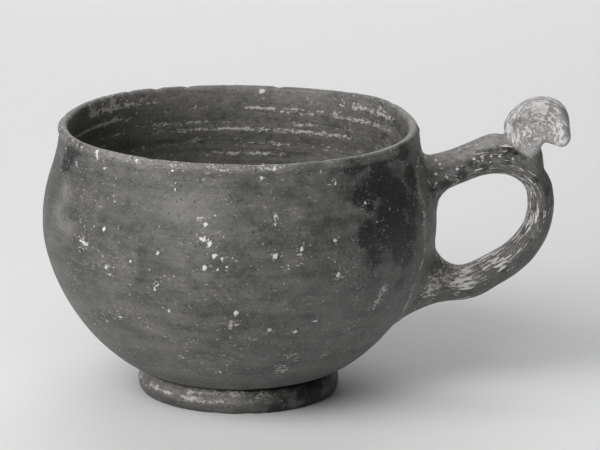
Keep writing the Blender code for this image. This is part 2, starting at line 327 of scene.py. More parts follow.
# Noises of the finish, as (size of the lumps, detail, stretch, roughness, offset)
ROUND = (1.0, 1.0, 1.0)
GRAINS = {
    "clouds": (0.026, 3.0, ROUND, 0.55, 0.0),
    "mottle": (0.0046, 4.0, ROUND, 0.62, 0.0),
    "smudges": (0.0040, 3.0, (2.6, 2.6, 1.0), 0.55, 0.5),
    "fine": (0.0010, 3.0, ROUND, 0.65, 0.0),
    "lines": (0.0011, 3.0, (14.0, 14.0, 1.0), 0.55, 0.0),
    "broad lines": (0.0045, 2.0, (16.0, 16.0, 1.0), 0.55, 0.0),
    "stains": (0.0021, 4.0, ROUND, 0.75, 0.6),
    "scratches": (0.00050, 2.0, (13.0, 13.0, 1.0), 0.55, 0.3),
    "rubbing": (0.0013, 4.0, (2.0, 2.0, 1.0), 0.65, 0.0),
    "powder": (0.00075, 4.0, (1.8, 1.8, 1.0), 0.75, 0.8),
    "ragged": (0.00080, 3.0, ROUND, 0.6, 0.7),
}
STRAND = (0.00074, 2.0, ROUND, 0.70, 0.0)
STRAND_STRETCH = 6.5
SWIRL = 0.0026

# What each noise adds to the clay's tone, as (noise, its low and high end, tone at each)
CLAY_LAYERS = (("clouds", 0.30, 0.72, 0.0, 0.24), ("mottle", 0.33, 0.69, -0.05, 0.31),
               ("smudges", 0.34, 0.68, -0.04, 0.28), ("fine", 0.30, 0.72, -0.04, 0.24))
TURNED_LAYERS = (("lines", 0.30, 0.72, -0.10, 0.10), ("broad lines", 0.30, 0.72, -0.08, 0.08))

# Where a value of the finish starts and is full, with what it gives there where that isn't 0 and 1
RAMPS = {
    "stained_and_shaded": (0.70, 1.08), "stain edge": (0.02, 0.25), "scratches": (0.64, 0.74), "scratched": (0.45, 0.62),
    "rubbing": (0.26, 0.60), "knob clay": (0.28, 0.62, 0.25, 0.95), "large": (0.88, 0.98),
    "scattered": (0.50, 0.72, 0.00, 0.08), "roughness": (0.25, 0.75, 0.44, 0.60), "speck edge": (-0.03, 0.05),
}
# Chalk's start, end and strength on the bowl and on the handle
CHALK_START = (0.62, 0.60)
CHALK_FULL = (0.73, 0.69)
CHALK_STRENGTH = (0.72, 0.95)
CHALK_LIFT = 0.26
STRAND_SHARE = 0.75
# Shares of the layers of colour
SHARES = {"stain": 0.94, "pits": 0.6, "rub": 0.8, "scratches": 0.5, "knob": 1.0, "small": 0.75,
          "deposit": 0.9}
# Density of the pits by the darkness of stains and painted shade, and what it is without
PIT_DENSITY = (0.35, 0.15)
SPECK_DENSITY = 0.8
RAGGED_EDGE = 0.7
ROUGHER = {"deposit": 0.30, "wear": 0.10}
# Ragged specks, as (pitch, least and greatest radius as shares of it, offset)
CLAY_PITS = (0.0011, 0.10, 0.32, 0.2)
SMALL_SPECKS = (0.00085, 0.08, 0.36, 0.9)
RAGGED_LUMPS = 2.6
RAGGED_DETAIL = 2.0
SPECK_RAGGEDNESS = 0.9
# Depths of the fine bumps
BUMPS = {"fine": 0.00016, "lines": 0.00012, "strands": 0.00030, "mottle": 0.00022, "crust": 0.00014}

# Marks by their strength and the photo's pixels, as (across, down, radius in mm)
PALE_SPOTS = {
    1: ((104, 229, 1.7), (86, 244, 1.8), (97, 152, 1.8), (205, 225, 1.8), (205, 268, 1.8), (275, 256, 1.8),
     (336, 240, 1.7), (338, 275, 1.9), (236, 313, 1.9), (262, 92, 2.2), (429, 182, 1.2)),
    0.9: ((104, 168, 1.6), (114, 201, 1.4), (81, 241, 1.8), (97, 158, 1.6), (82, 147, 1.4), (76, 163, 1.6),
     (173, 171, 1.5), (275, 169, 1.7), (200, 218, 1.7), (161, 226, 1.3), (203, 239, 2.2), (210, 244, 2.2),
     (218, 269, 1.4), (228, 267, 1.4), (302, 249, 1.7), (275, 217, 1.5), (302, 217, 1.4), (270, 330, 1.8),
     (295, 332, 1.8), (315, 321, 1.8), (131, 261, 1.4), (158, 253, 1.5), (106, 267, 1.7), (121, 317, 1.6),
     (168, 311, 1.7), (396, 100, 2.2), (457, 169, 1), (436, 160, 1.1), (436, 174, 1.1), (474, 159, 1),
     (482, 157, 1.1), (491, 156, 1.1)),
    0.8: ((118, 211, 1.2), (66, 148, 1.8), (73, 168, 1.4), (136, 160, 1.3), (177, 161, 1.5),
     (175, 190, 1.4), (226, 171, 1.8), (261, 168, 1.7), (262, 178, 1.7), (216, 216, 1.3), (215, 256, 2),
     (223, 259, 1.7), (334, 262, 1.4), (365, 203, 1.8), (335, 183, 1.8), (275, 224, 1.6), (245, 344, 1.3),
     (157, 284, 1.7), (154, 289, 1.8), (169, 279, 1.4), (110, 275, 1.3), (107, 321, 1.6), (147, 328, 1.6),
     (183, 358, 1.5), (220, 372, 1.7), (383, 290, 3.4), (376, 303, 3), (250, 94, 2), (440, 164, 1),
     (436, 183, 1.1), (500, 156, 1), (513, 159, 1)),
    0.7: ((82, 197, 2), (176, 183, 1.4), (321, 171, 1.5), (232, 325, 3.2), (283, 331, 1.3),
     (253, 340, 1.7), (281, 369, 3.4), (149, 269, 1.3), (94, 313, 1.4), (189, 307, 1.4), (137, 347, 1.4),
     (459, 150, 0.9), (462, 166, 0.9), (448, 178, 1), (112, 100, 3.2)),
    0.6: ((61, 157, 1.8), (65, 174, 1.3), (70, 190, 2), (222, 240, 1.8), (222, 343, 2), (290, 355, 3),
     (325, 354, 3.4), (346, 329, 1.8), (152, 353, 1.4), (375, 275, 2.2), (367, 311, 2), (352, 327, 1.8),
     (92, 109, 3), (122, 97, 2.9)),
    0.5: ((181, 171, 1.8), (300, 260, 3), (140, 160, 1.2), (118, 117, 2.9), (104, 103, 3)),
    0.4: ((431, 292, 4),),
    0.3: ((381, 105, 3.6), (445, 274, 5.6), (457, 276, 5.6), (450, 284, 5), (437, 282, 4.4)),
    0.25: ((468, 271, 4.6), (463, 283, 4.4)),
    0.2: ((388, 125, 5), (478, 266, 4)),
}
RUBBED_SPOTS = {
    1.8: ((440, 158, 4.4), (450, 156, 4.4), (460, 153, 4.2), (470, 149, 4), (480, 144, 3.8),
     (490, 141, 3.8), (499, 139, 3.8)),
    1.5: ((430, 160, 4.6),),
    1.1: ((450, 277, 6), (465, 274, 6)),
    0.9: ((106, 151, 3.4), (114, 154, 3.4)),
    0.8: ((436, 284, 5), (122, 156, 3.2)),
    0.7: ((60, 214, 9), (65, 194, 6), (425, 235, 4.4), (360, 153, 3), (388, 145, 3)),
    0.6: ((66, 228, 7), (427, 247, 4.4), (140, 161, 3), (330, 160, 3)),
    0.25: ((205, 205, 12),),
    0.2: ((330, 320, 9),),
}
# Dark marks: fire clouding and stains, with painted shade on the right flank and foot, under the strut and
# the roots, and on the loop's and knob's right edges
STAIN_AND_SHADE_SPOTS = {
    1: ((72, 147, 7.2), (67, 161, 6.4), (398, 195, 9)),
    0.95: ((392, 225, 13),),
    0.9: ((78, 142, 4.8), (411, 178, 7), (412, 205, 7), (411, 232, 7), (568, 118, 1.3), (569, 125, 1.3),
     (434, 191, 3.4), (404, 150, 6)),
    0.85: ((380, 180, 10),),
    0.8: ((408, 258, 7), (446, 184, 3.6), (461, 174, 3.4), (566, 112, 1.3), (568, 132, 1.3),
     (478, 153, 1.5), (484, 151, 1.5), (490, 150, 1.5), (497, 148, 1.5), (504, 147, 1.6), (511, 149, 2.2),
     (518, 152, 2.4), (484, 167, 2.4), (428, 200, 3.6), (400, 250, 8), (474, 166, 2.6)),
    0.7: ((365, 196, 9), (369, 236, 9), (524, 157, 2.2)),
    0.6: ((535, 180, 2.6), (375, 255, 9), (490, 162, 2.2), (507, 162, 2.8)),
    0.5: ((355, 165, 8), (400, 284, 7), (430, 190, 3.6), (543, 215, 3), (547, 190, 3), (530, 240, 3.4),
     (505, 268, 3.6)),
    0.4: ((82, 252, 4), (470, 292, 3.6), (315, 390, 8), (418, 300, 4)),
}


def smoothstep(low, high, value):
    t = np.clip((value - low) / (high - low), 0.0, 1.0)
    return t * t * (3 - 2 * t)


def outer_radius(z):
    """Radius of the bowl's outside at a height, from the groove over the foot up to the neck."""
    if z < BELLY_HEIGHT:
        drop = (BELLY_HEIGHT - z) / (BELLY_HEIGHT - FOOT_HEIGHT)
        swell = max(0.0, 1 - drop ** LOWER_FULLNESS) ** LOWER_ROUNDNESS
        return GROOVE_RADIUS + (BELLY_RADIUS - GROOVE_RADIUS) * swell
    rise = min(1.0, (z - BELLY_HEIGHT) / (NECK_HEIGHT - BELLY_HEIGHT))
    swell = (1 + math.cos(math.pi * rise ** SHOULDER_HOLD)) / 2
    return NECK_RADIUS + (BELLY_RADIUS - NECK_RADIUS) * swell


def outward(z):
    """Unit normal of the bowl's outside at a height, as its radial and its vertical part."""
    step = 0.0002
    slope = (outer_radius(z + step) - outer_radius(z - step)) / (2 * step)
    size = math.hypot(1.0, slope)
    return 1.0 / size, -slope / size


def spread(low, high, count, ease=1.0):
    return [low + (high - low) * (i / (count - 1)) ** ease for i in range(count)]


def arc(centre, radii, start_deg, end_deg, count):
    points = []
    for angle in spread(math.radians(start_deg), math.radians(end_deg), count):
        points.append((centre[0] + radii[0] * math.cos(angle), centre[1] + radii[1] * math.sin(angle)))
    return points


def evened(profile, pitch):
    """The same line with points about a pitch apart."""
    points = [Vector(p) for p in profile]
    lengths = [0.0]
    for before, after in zip(points, points[1:]):
        lengths.append(lengths[-1] + (after - before).length)
    count = max(2, round(lengths[-1] / pitch) + 1)
    made = []
    for distance in spread(0.0, lengths[-1], count):
        i = min(bisect.bisect_right(lengths, distance) - 1, len(points) - 2)
        t = (distance - lengths[i]) / (lengths[i + 1] - lengths[i])
        made.append(tuple(points[i].lerp(points[i + 1], t)))
    return made


def bowl_profile():
    """Half section of the bowl from the middle of the underside, up the outside and down to the floor."""
    rest_out = FOOT_RADIUS - FOOT_ROUNDING
    rest_in = rest_out - FOOT_RING_WIDTH
    widest = FOOT_HEIGHT * 0.52
    under = [(0.0, FOOT_RECESS), (rest_in - FOOT_RECESS, FOOT_RECESS * 0.85)]
    under += [(rest_in - FOOT_RECESS * 0.3, FOOT_RECESS * 0.35), (rest_in, 0.0)]
    side = arc((rest_out, widest), (FOOT_ROUNDING, widest), -90, 70, 10)
    profile = evened(under, 2.4 * MM) + evened([(rest_in, 0.0), (rest_out, 0.0)], 1.2 * MM)[1:]
    profile += evened(side, 0.7 * MM)[1:]
    lower = [(outer_radius(z), z) for z in spread(FOOT_HEIGHT, BELLY_HEIGHT, 200, 1.6)]
    upper = [(outer_radius(z), z) for z in spread(BELLY_HEIGHT, NECK_HEIGHT, 100)[1:]]
    wall = lower + upper
    profile += evened(wall, (NECK_HEIGHT * 1.28) / OUTER_ROWS)
    lip = LIP_THICKNESS / 2
    profile += arc((RIM_RADIUS - lip, BODY_HEIGHT - lip), (lip, lip), 0, 180, LIP_ROWS)
    inside = []
    taper_foot = BODY_HEIGHT - LIP_TAPER
    wall_foot = FOOT_HEIGHT + 2 * WALL
    for z in reversed(spread(wall_foot, NECK_HEIGHT - lip, 120, 1.2)):
        thin = min(1.0, max(0.0, (z - taper_foot) / (NECK_HEIGHT - taper_foot)))
        thickness = WALL + (LIP_THICKNESS - WALL) * thin
        radial, vertical = outward(z)
        inside.append((outer_radius(z) - radial * thickness, z - vertical * thickness))
    floor = FOOT_RECESS + FLOOR_THICKNESS
    last_radius, last_height = inside[-1]
    radial, vertical = outward(wall_foot)
    curl = (-radial / vertical) * last_radius / (last_height - floor)
    bottom = []
    for share in reversed(spread(0.0, 0.97, 40)):
        bottom.append((last_radius * share, floor + (last_height - floor) * share ** curl))
    profile += evened(inside, (NECK_HEIGHT * 1.28) / INNER_ROWS)
    profile += evened(bottom, 1.5 * MM)
    return profile


def link_mesh(name, verts, faces):
    mesh = bpy.data.meshes.new(name)
    mesh.from_pydata(verts, [], faces)
    bm = bmesh.new()
    bm.from_mesh(mesh)
    bmesh.ops.recalc_face_normals(bm, faces=bm.faces)
    bm.to_mesh(mesh)
    bm.free()
    made = bpy.data.objects.new(name, mesh)
    bpy.context.scene.collection.objects.link(made)
    return made


def between_rings(count, sides, first=0):
    """Faces between rings of points that follow one another."""
    faces = []
    for start in range(first, first + (count - 1) * sides, sides):
        for side in range(sides):
            here = start + side
            beside = start + (side + 1) % sides
            faces.append((here, beside, beside + sides, here + sides))
    return faces


def close_ends(verts, faces, sides, middles):
    """Closes the first and the last ring, each onto its middle."""
    for start, middle in zip((0, len(verts) - sides), middles):
        for side in range(sides):
            faces.append((start + side, start + (side + 1) % sides, len(verts)))
        verts.append(middle)


def turned_bowl():
    """The profile carried round the axis as a closed grid, with one point where it meets the axis."""
    profile = bowl_profile()
    inner = profile[1:-1]
    verts = [(AXIS_X, 0.0, profile[0][1]), (AXIS_X, 0.0, profile[-1][1])]
    for radius, height in inner:
        for column in range(COLUMNS):
            angle = math.tau * column / COLUMNS
            verts.append((AXIS_X + radius * math.cos(angle), radius * math.sin(angle), height))
    faces = between_rings(len(inner), COLUMNS, 2)
    top = 2 + (len(inner) - 1) * COLUMNS
    for column in range(COLUMNS):
        following = (column + 1) % COLUMNS
        faces.append((0, 2 + following, 2 + column))
        faces.append((1, top + column, top + following))
    return link_mesh("cup_ware", verts, faces)


def smooth_path(stations, steps):
    """Catmull-Rom curve through stations of equal length; every station is a tuple of numbers."""
    path = []
    ends = [stations[0]] + list(stations) + [stations[-1]]
    for i in range(1, len(ends) - 2):
        for step in range(steps):
            t = step / steps
            point = []
            for before, here, after, beyond in zip(*ends[i - 1:i + 3]):
                bend = 2 * before - 5 * here + 4 * after - beyond
                twist = 3 * here - before - 3 * after + beyond
                point.append(here + t * ((after - before) + t * (bend + t * twist)) / 2)
            path.append(tuple(point))
    path.append(tuple(stations[-1]))
    return path


def rounded_bar(name, path, ridge=1.0):
    """Solid with rounded sections in the handle's plane; a ridge over 1 pinches its two sides to an edge."""
    verts = []
    for i, station in enumerate(path):
        before = path[max(0, i - 1)]
        after = path[min(len(path) - 1, i + 1)]
        along = Vector((after[0] - before[0], 0.0, after[1] - before[1])).normalized()
        across = Vector((-along.z, 0.0, along.x))
        centre = Vector((station[0], 0.0, station[1]))
        for side in range(ROD_SIDES):
            angle = math.tau * side / ROD_SIDES
            bulge = math.copysign(abs(math.cos(angle)) ** ridge, math.cos(angle))
            offset = across * (bulge * station[2] / 2)
            offset.y = math.sin(angle) * station[3] / 2
            verts.append(centre + offset)
    faces = between_rings(len(path), ROD_SIDES)
    close_ends(verts, faces, ROD_SIDES, [Vector((path[end][0], 0.0, path[end][1])) for end in (0, -1)])
    verts = [v + Vector((AXIS_X, 0.0, 0.0)) for v in verts]
    return link_mesh(name, verts, faces)


def wall_root(up, depth):
    """Point at a depth under the bowl's outside, at a share of the loop's height."""
    z = LOOP_FOOT + up * LOOP_HEIGHT
    radial, vertical = outward(z)
    return outer_radius(z) - radial * depth, z - vertical * depth


def in_loop(out, up):
    """Place in the plane of the handle, as shares of the loop's reach from the wall and of its height."""
    return BELLY_RADIUS + out * LOOP_REACH, LOOP_FOOT + up * LOOP_HEIGHT


def loop_path():
    """Middle of the loop's rod, from its upper root round to its lower one, with thickness and width."""
    stations = []
    for depth in (ROOT_DEPTH, -WALL / 3):
        stations.append(wall_root(UPPER_ROOT, depth) + (ROD_THICKNESS, ROD_WIDTH))
    for place, swell in zip(LOOP_SHAPE, ROD_SWELL):
        stations.append(in_loop(*place) + (swell * ROD_THICKNESS, ROD_WIDTH))
    for depth in (-WALL / 2, ROOT_DEPTH):
        stations.append(wall_root(LOWER_ROOT, depth) + (ROD_SWELL[-1] * ROD_THICKNESS, ROD_WIDTH))
    return smooth_path(stations, 16)


def knob_centre():
    knob_x, crown = in_loop(KNOB_OUT, 1.0)
    return knob_x, crown + KNOB_RISE


def strut_path():
    knob_x, knob_z = knob_centre()
    end = (knob_x - KNOB_DIAMETER * 0.2, knob_z - KNOB_DIAMETER * 0.15)
    stations = [wall_root(STRUT_ROOT, ROOT_DEPTH) + (STRUT_THICKNESS, STRUT_WIDTH)]
    stations += [in_loop(*place) + (STRUT_THICKNESS, STRUT_WIDTH) for place in STRUT_SHAPE]
    stations.append(end + (STRUT_THICKNESS, STEM_WIDTH * 0.9))
    return smooth_path(stations, 10)


def stem_path():
    knob_x, knob_z = knob_centre()
    end = (knob_x - KNOB_DIAMETER * 0.12, knob_z - KNOB_DIAMETER * 0.05)
    foot, shoulder, top = [in_loop(*place) for place in STEM_SHAPE]
    stations = [foot + (STEM_THICKNESS * 0.8, ROD_WIDTH * 0.85)]
    stations.append(shoulder + (STEM_THICKNESS, ROD_WIDTH * 0.85))
    stations.append(top + (STEM_THICKNESS, STEM_WIDTH))
    stations.append(end + (STEM_THICKNESS, STEM_WIDTH * 0.85))
    return smooth_path(stations, 10)


def thumb_knob():
    """Flat knob in the plane of the handle, with a raised round border and dished sides."""
    knob_x, knob_z = knob_centre()
    points = [(math.radians(angle), reach * KNOB_DIAMETER / 2) for angle, reach in KNOB_SHAPE]
    outline = smooth_path(points + [(points[0][0] + math.tau, points[0][1])], 8)[:-1]
    half = KNOB_THICKNESS / 2
    contour = [(KNOB_BORDER * inset, half * side) for inset, side in KNOB_ROUNDING]
    contour += [(KNOB_BORDER * inset, half - KNOB_DISH * sunk) for inset, sunk in KNOB_HOLLOW]
    levels = [(inset, -side) for inset, side in reversed(contour[1:])] + contour
    verts = []
    for inset, side in levels:
        for angle, reach in outline:
            out = reach - inset
            verts.append((AXIS_X + knob_x + out * math.cos(angle), side, knob_z + out * math.sin(angle)))
    faces = between_rings(len(levels), len(outline))
    dish = half - KNOB_DISH
    close_ends(verts, faces, len(outline), [(AXIS_X + knob_x, side * dish, knob_z) for side in (-1, 1)])
    return link_mesh("knob", verts, faces)


def baked(thing):
    """The object with its modifiers applied."""
    graph = bpy.context.evaluated_depsgraph_get()
    mesh = bpy.data.meshes.new_from_object(thing.evaluated_get(graph))
    thing.modifiers.clear()
    thing.data = mesh
    return thing


def handle_form():
    """Loop, strut, stem and knob melted into one even mesh, as wet clay joined by hand."""
    parts = [rounded_bar("loop", loop_path(), ROD_RIDGE), rounded_bar("strut", strut_path()),
             rounded_bar("stem", stem_path()), thumb_knob()]
    bm = bmesh.new()
    for part in parts:
        bm.from_mesh(part.data)
        bpy.data.objects.remove(part)
    mesh = bpy.data.meshes.new("handle")
    bm.to_mesh(mesh)
    bm.free()
    handle = bpy.data.objects.new("handle", mesh)
    bpy.context.scene.collection.objects.link(handle)
    remesh = handle.modifiers.new("even", 'REMESH')
    remesh.mode = 'VOXEL'
    remesh.voxel_size = HANDLE_VOXEL
    soften = handle.modifiers.new("soften", 'SMOOTH')
    soften.factor = 0.5
    soften.iterations = HANDLE_SMOOTHING
    return baked(handle)


def search_tree(mesh):
    """Tree that finds the nearest place of a mesh and where a ray meets it."""
    bm = bmesh.new()
    bm.from_mesh(mesh)
    tree = BVHTree.FromBMesh(bm)
    bm.free()
    return tree


def fused_cup():
    cup = turned_bowl()
    handle = handle_form()
    union = cup.modifiers.new("join", 'BOOLEAN')
    union.operation = 'UNION'
    union.solver = 'EXACT'
    union.object = handle
    baked(cup)
    tree = search_tree(handle.data)
    bpy.data.objects.remove(handle)
    return cup, tree


class Surface:
    """The cup's points as arrays, with their normals and their neighbours."""

    def __init__(self, thing):
        self.mesh = thing.data
        count = len(self.mesh.vertices)
        self.points = np.zeros(count * 3)
        self.mesh.vertices.foreach_get("co", self.points)
        self.points = self.points.reshape(-1, 3)
        edges = np.zeros(len(self.mesh.edges) * 2, dtype=np.int64)
        self.mesh.edges.foreach_get("vertices", edges)
        self.edges = edges.reshape(-1, 2)
        self.degree = np.bincount(self.edges.ravel(), minlength=count).astype(float)
        self.read_normals()

    def read_normals(self):
        self.mesh.vertices.foreach_set("co", self.points.ravel())
        self.mesh.update()
        normals = np.zeros(len(self.points) * 3, dtype=np.float32)
        self.mesh.vertex_normals.foreach_get("vector", normals)
        self.normals = normals.reshape(-1, 3).astype(float)

    def averaged(self, values):
        """Each point's mean over its neighbours."""
        total = np.zeros_like(values)
        np.add.at(total, self.edges[:, 0], values[self.edges[:, 1]])
        np.add.at(total, self.edges[:, 1], values[self.edges[:, 0]])
        return total / (self.degree[:, None] if values.ndim > 1 else self.degree)

    def soften(self, share, rounds):
        """Relaxes the points, each by its own share."""
        for _ in range(rounds):
            self.points += share[:, None] * (self.averaged(self.points) - self.points)
        self.read_normals()

    def push(self, depth):
        """Moves the points along their normals."""
        self.points += self.normals * depth[:, None]
        self.read_normals()


def lumps(points, size, seed, octaves):
    """Smooth noise of about -1 to 1, with its largest lumps about a size across; size may differ by axis."""
    scaled = points / np.asarray(size) + np.array((7.31, 3.17, 5.59)) * seed
    return np.array([noise.fractal(Vector(p), 1.0, 2.0, octaves) for p in scaled])


def relief(points, name):
    """Uneven depth of one kind at each point."""
    depth, size, seed, octaves = RELIEF[name]
    return depth * lumps(points, size, seed, octaves)


def patches(points, name, more=0.0):
    """Uneven share of one kind at each point."""
    middle, gain, size, seed, octaves, least, most = PATCHES[name]
    return np.clip(middle + more + gain * lumps(points, size, seed, octaves), least, most)


def bell(distance, width):
    """1 at no distance, falling to 0 past a width."""
    return np.clip(1 - (distance / width) ** 2, 0.0, 1.0) ** 2


class Places:
    """Where each point of the surface lies on the cup."""

    def __init__(self, points):
        x = points[:, 0] - AXIS_X
        self.height = points[:, 2]
        self.reach = np.hypot(x, points[:, 1])
        self.azimuth = np.degrees(np.arctan2(points[:, 1], x))
        wall = np.array([outer_radius(min(max(z, FOOT_HEIGHT), NECK_HEIGHT)) for z in self.height])
        self.proud = self.reach - wall
        foot = self.height < FOOT_HEIGHT + FOOT_SLACK
        self.foot = foot & (self.reach < FOOT_RADIUS + FOOT_MARGIN)
        self.handle = smoothstep(ROOT_START, ROOT_FULL, self.proud) * ~foot
        self.handle *= np.abs(points[:, 1]) < HANDLE_HALF_SPAN
        self.handle *= x > 0
        self.handle *= (self.height < BODY_HEIGHT - RIM_CLEAR) | (self.reach > BELLY_RADIUS)
        floor = FOOT_RECESS + FLOOR_THICKNESS - FLOOR_SLACK
        inside = (self.proud < -0.55 * LIP_THICKNESS) & (self.height > floor)
        self.inside = inside.astype(float)
        lip = BODY_HEIGHT - LIP_THICKNESS * 0.9
        self.lip = smoothstep(lip, lip + LIP_EASE, self.height) * (1 - self.handle)
        self.outside = (1 - self.inside) * (1 - self.handle) * ~self.foot


def along_handle(points):
    """Each point's distance along the loop's rod, its angle round it and its distance from it."""
    path = np.array([station[:2] for station in loop_path()])
    steps = np.hypot(*np.diff(path, axis=0).T)
    lengths = np.r_[0.0, np.cumsum(steps)]
    flat = points[:, [0, 2]] - (AXIS_X, 0.0)
    near = np.zeros(len(points), dtype=int)
    for start in range(0, len(points), 20000):
        gap = flat[start:start + 20000, None, :] - path[None]
        near[start:start + 20000] = (gap ** 2).sum(axis=2).argmin(axis=1)
    ahead = path[np.minimum(near + 1, len(path) - 1)] - path[np.maximum(near - 1, 0)]
    ahead /= np.linalg.norm(ahead, axis=1)[:, None]
    offset = flat - path[near]
    across = -offset[:, 0] * ahead[:, 1] + offset[:, 1] * ahead[:, 0]
    return lengths[near], np.arctan2(across, points[:, 1]), np.hypot(across, points[:, 1])


def about_knob(points):
    """Each point's distance from the knob's middle in the handle's plane, and its angle round it."""
    knob_x, knob_z = knob_centre()
    side = points[:, 0] - AXIS_X - knob_x
    rise = points[:, 2] - knob_z
    return np.hypot(side, rise), np.arctan2(rise, side)


def knob_reach(points):
    """Each point's distance from the knob's middle, as a share of its outline's in the same direction."""
    reach, turn = about_knob(points)
    angles, reaches = zip(*KNOB_SHAPE)
    return reach / (np.interp(np.degrees(turn), angles, reaches, period=360) * KNOB_DIAMETER / 2)


def path_gap(points, path):
    """Each point's distance in the handle's plane from a path's nearest station, less half its thickness."""
    path = np.array([station[:3] for station in path])
    flat = points[:, [0, 2]] - (AXIS_X, 0.0)
    best = np.full(len(points), 1.0)
    for x, z, thickness in path:
        np.minimum(best, np.hypot(flat[:, 0] - x, flat[:, 1] - z) - thickness / 2, out=best)
    return best


def angle_gap(azimuth, centre):
    return np.abs((azimuth - centre + 180.0) % 360.0 - 180.0)


def facing(place, centre, none, full):
    """1 at some degrees off an azimuth, easing to 0 at others."""
    return smoothstep(none, full, angle_gap(place.azimuth, centre))


def draw_in(surface, place, inset):
    """Moves each point towards the bowl's axis."""
    toward = np.radians(place.azimuth)
    surface.points[:, 0] -= inset * np.cos(toward)
    surface.points[:, 1] -= inset * np.sin(toward)


def strewn(luck, points, heights):
    """A place drawn on the bowl's outside: its azimuth, and each point's distance from it."""
    azimuth = luck.uniform(-math.pi, math.pi)
    height = luck.uniform(*heights)
    radius = outer_radius(height)
    centre = (AXIS_X + radius * math.cos(azimuth), radius * math.sin(azimuth), height)
    return azimuth, np.linalg.norm(points - centre, axis=1)


def flare_roots(surface, handle):
    """Fills the corner between handle and wall with a round fillet, whose radius changes with its height."""
    heights, radii = zip(*ROOT_FILLETS)
    for turn in range(FILLET_ROUNDS):
        points = surface.points
        x = points[:, 0] - AXIS_X
        reach = np.hypot(x, points[:, 1])
        near = (x > 0) & (np.abs(points[:, 1]) < FILLET_HALF_SPAN) & (reach > FILLET_REACH)
        near &= (points[:, 2] > FILLET_FOOT) & (points[:, 2] < NECK_HEIGHT)
        pull = np.zeros(len(points))
        for i in np.nonzero(near)[0]:
            here = Vector(points[i])
            radius = np.interp(here.z, heights, radii)
            radial, vertical = outward(here.z)
            from_wall = (reach[i] - outer_radius(here.z)) * radial
            if not -FILLET_SINK < from_wall < radius:
                continue
            met, normal, _, gap = handle.find_nearest(here)
            if gap > radius:
                continue
            away = (here - met).normalized() if gap > TOUCHING else normal
            if (here - met).dot(normal) < 0:
                gap = -gap
                away = -away
            u = radius - from_wall
            v = radius - gap
            if v <= 0:
                continue
            pull[i] = min(1.0, FILLET_EASE * min(u, v) / radius)
            wall = Vector((x[i] / reach[i] * radial, points[i, 1] / reach[i] * radial, vertical))
            size = math.hypot(u, v)
            slope = (wall * u + away * v) / size
            points[i] -= np.array(slope * ((radius - size) / max(slope.length_squared, LEAST_SLOPE)))
        if turn < FILLET_ROUNDS - 2:
            surface.soften(FILLET_SOFTENING[0] * pull, FILLET_SOFTENING[1])
    surface.read_normals()


def throwing(surface):
    """Slow swells, wheel lines and throwing ridges of the bowl, and the slight wander of its rim and foot."""
    points = surface.points
    place = Places(points)
    body = (1 - place.handle) * ~place.foot
    depth = body * (relief(points, "wheel lines") + relief(points, "swells") + relief(points, "dents"))
    drift = relief(points * FLAT, "groove drift")
    for height, width, cut in INNER_GROOVES:
        depth -= place.inside * cut * bell(place.height + drift - height, width)
    at_handle = bell(angle_gap(place.azimuth, 0.0), TUCK_SPREAD)
    groove = bell(place.height + LIP_GROOVE_DRIFT * drift - LIP_GROOVE, LIP_GROOVE_WIDTH) * (1 - at_handle)
    depth -= place.outside * LIP_GROOVE_DEPTH * groove
    surface.push(depth)
    upper = smoothstep(WANDER_FOOT, BODY_HEIGHT, surface.points[:, 2]) * (1 - place.handle)
    lift = np.zeros(len(points))
    for centre, width, height in RIM_WANDER:
        lift += height * bell(angle_gap(place.azimuth, centre), width)
    surface.points[:, 2] += lift * upper
    lip = smoothstep(NECK_HEIGHT - MM, BODY_HEIGHT - MM, place.height) * ~place.foot
    draw_in(surface, place, LIP_TUCK * at_handle * lip)
    upper = smoothstep(PINCH_FOOT, BODY_HEIGHT, place.height) * (1 - place.handle)
    for centre, width, inset in RIM_PINCH:
        draw_in(surface, place, inset * upper * bell(angle_gap(place.azimuth, centre), width))
    splay = np.interp(place.height, *zip(*FOOT_SPLAY)) * (place.reach > FOOT_RADIUS - SPLAY_RIM)
    out = splay / np.maximum(place.reach, MM)
    surface.points[:, 0] += out * (surface.points[:, 0] - AXIS_X)
    surface.points[:, 1] += out * surface.points[:, 1]
    surface.read_normals()


def hand_work(surface):
    """Smears of the luting clay round the roots and strokes along the handle."""
    points = surface.points
    place = Places(points)
    along, around, _ = along_handle(points)
    girth = (np.cos(around) * STROKE_GIRTH, np.sin(around) * STROKE_GIRTH, along * STROKE_LENGTH)
    strokes = relief(np.stack(girth, axis=1), "strokes")
    reach = knob_reach(points)
    knob = place.handle * smoothstep(KNOB_EDGE, KNOB_FULL, reach)
    rod = place.handle - knob
    depth = rod * (strokes + relief(points, "handle lumps"))
    depth += knob * relief(points, "knob lumps")
    depth -= knob * KNOB_GROOVE_DEPTH * bell(reach - KNOB_GROOVE, KNOB_GROOVE_WIDTH)
    seam = path_gap(points, strut_path()[:CREASE_STATIONS[0]])
    seam -= path_gap(points, loop_path()[:CREASE_STATIONS[1]])
    crease = bell(seam, CREASE_WIDTH) * rod
    crease *= smoothstep(LOOP_REACH * CREASE_START, LOOP_REACH * CREASE_FULL, place.reach - BELLY_RADIUS)
    depth -= CREASE_DEPTH * crease
    luting = LUTING_HALF_WIDTH + relief(points, "luting wander")
    middle = (LUTING_TOP + LUTING_FOOT) / 2
    tall = np.abs(place.height - middle) / ((LUTING_TOP - LUTING_FOOT) / 2)
    half = luting * np.sqrt(np.clip(LUTING_ROUNDNESS - tall ** 4, 0.0, None))
    side = np.abs(points[:, 1])
    front = (points[:, 0] > AXIS_X) * place.outside
    smear = smoothstep(-LUTING_EASE, LUTING_EASE, half - side) * front
    edge = bell(half - side - BEAD_INSET, BEAD_WIDTH) * front
    depth += LUTING_THICKNESS * smear + LUTING_BEAD * edge
    depth += smear * relief(points, "luting strokes")
    surface.push(depth)
    return edge, smear, knob, crease


